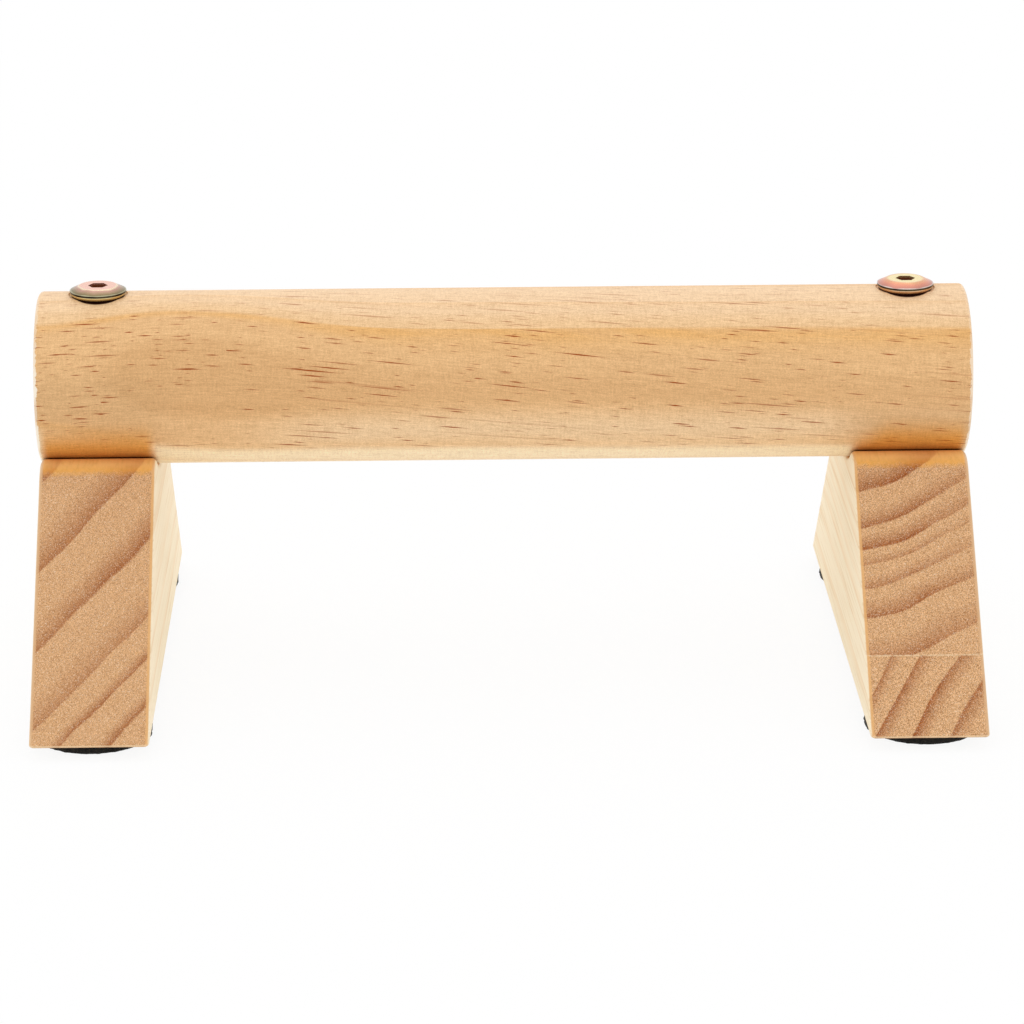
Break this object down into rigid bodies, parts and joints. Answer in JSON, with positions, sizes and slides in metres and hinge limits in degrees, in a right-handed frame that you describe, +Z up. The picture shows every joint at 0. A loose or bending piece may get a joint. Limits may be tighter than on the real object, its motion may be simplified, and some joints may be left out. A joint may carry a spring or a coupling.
{
  "type": "parallette bar",
  "caption": "Low wooden parallette: a round grip bar bolted down into the saddles of mitred feet on felt pads, gripped for push-ups and hand balancing.",
  "frame": {"origin": "on the floor, under the middle of the bar", "axes": "+X along the bar, +Y from the front to the rear of the feet, +Z up"},
  "size_m": [0.214, 0.137, 0.0905],
  "materials": {
    "bar_wood": "sanded pine, long grain, clear oil",
    "foot_wood": "sanded pine, end grain on the sloping faces",
    "zinc": "yellow zinc plate on steel",
    "felt": "black pressed felt"
  },
  "bodies": {
    "root": {"grip_bar": "bar_wood", "left_foot": "foot_wood", "right_foot_upper_stave": "foot_wood", "right_foot_lower_stave": "foot_wood", "left_bolt": "zinc", "right_bolt": "zinc", "left_insert_nut": "zinc", "right_insert_nut": "zinc", "left_front_pad": "felt", "left_rear_pad": "felt", "right_front_pad": "felt", "right_rear_pad": "felt"}
  },
  "joints": []
}
